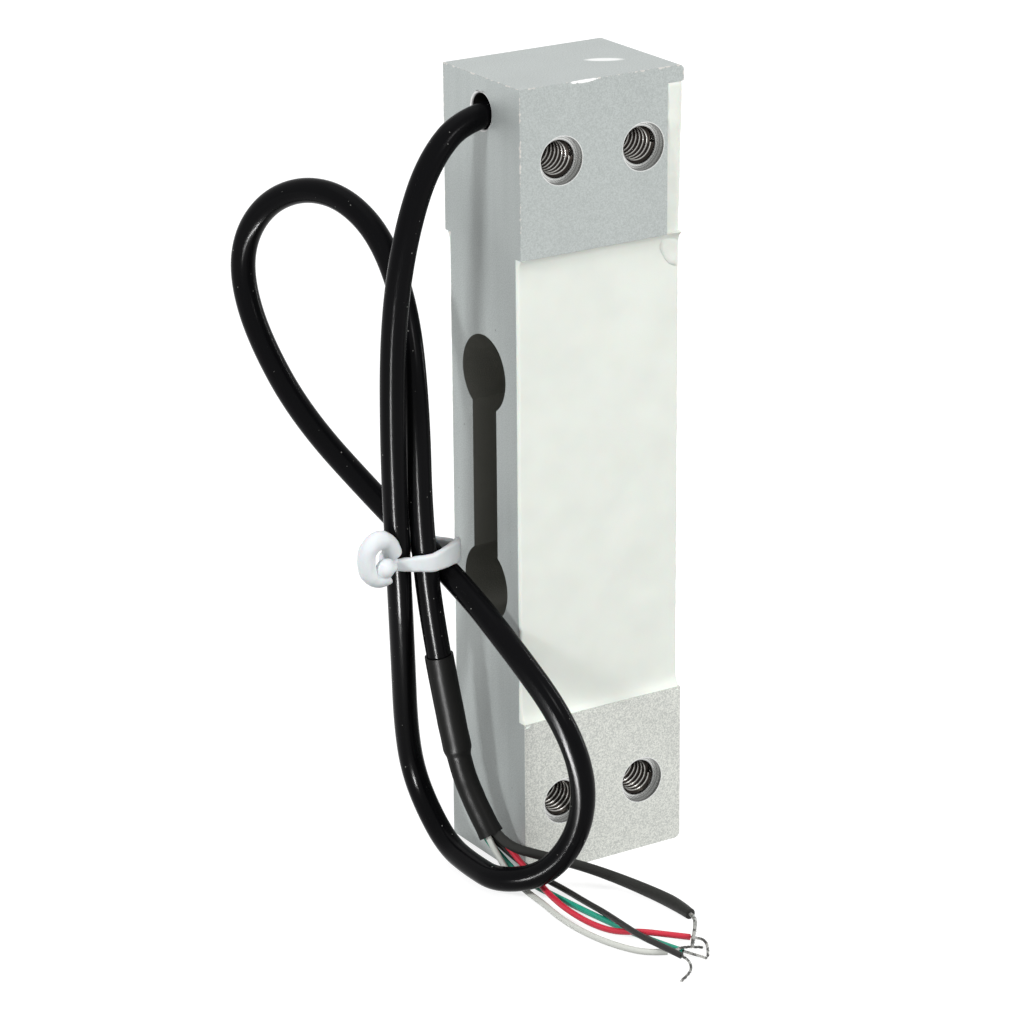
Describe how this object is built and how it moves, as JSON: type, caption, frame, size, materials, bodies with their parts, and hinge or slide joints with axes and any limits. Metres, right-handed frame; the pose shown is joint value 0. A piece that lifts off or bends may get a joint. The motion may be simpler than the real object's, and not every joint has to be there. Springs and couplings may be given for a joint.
{
  "type": "single point load cell",
  "caption": "Single point load cell: milled aluminium bar with a dumbbell cut-out, white potted gauge recesses, tapped holes and a looped black cable with bare wire ends.",
  "frame": {"origin": "middle of the bar's bottom end face", "axes": "+Z along the bar, -Y out of the front recess, the cable leaves on the -X side"},
  "size_m": [0.0533, 0.0959, 0.13],
  "materials": {
    "machined_aluminium": "satin",
    "white_silicone": "satin",
    "gauge_foil": "satin",
    "copper_lead": "satin",
    "board_laminate": "satin",
    "core_insulation": "satin",
    "cable_pvc": "semi-gloss",
    "black_heat_shrink": "satin",
    "white_tie_plastic": "satin",
    "red_insulation": "satin",
    "green_insulation": "satin",
    "white_insulation": "satin",
    "black_insulation": "satin",
    "shield_tubing": "matte",
    "tinned_copper": "satin"
  },
  "bodies": {
    "root": {"beam_body": "machined_aluminium", "front_potting": "white_silicone", "back_potting": "white_silicone", "channel_sealant": "white_silicone", "entry_sealant": "white_silicone", "front_upper_gauge": "gauge_foil", "front_lower_gauge": "gauge_foil", "back_upper_gauge": "gauge_foil", "back_lower_gauge": "gauge_foil", "front_gauge_leads": "copper_lead", "back_gauge_leads": "copper_lead", "junction_board": "board_laminate", "cable_cores": "core_insulation", "cable_jacket": "cable_pvc", "heat_shrink_sleeve": "black_heat_shrink", "twist_tie": "white_tie_plastic", "red_wire": "red_insulation", "green_wire": "green_insulation", "white_wire": "white_insulation", "black_wire": "black_insulation", "shield_sleeve": "shield_tubing", "drain_wire": "tinned_copper", "red_tinned_end": "tinned_copper", "green_tinned_end": "tinned_copper", "white_tinned_end": "tinned_copper", "black_tinned_end": "tinned_copper"}
  },
  "joints": []
}
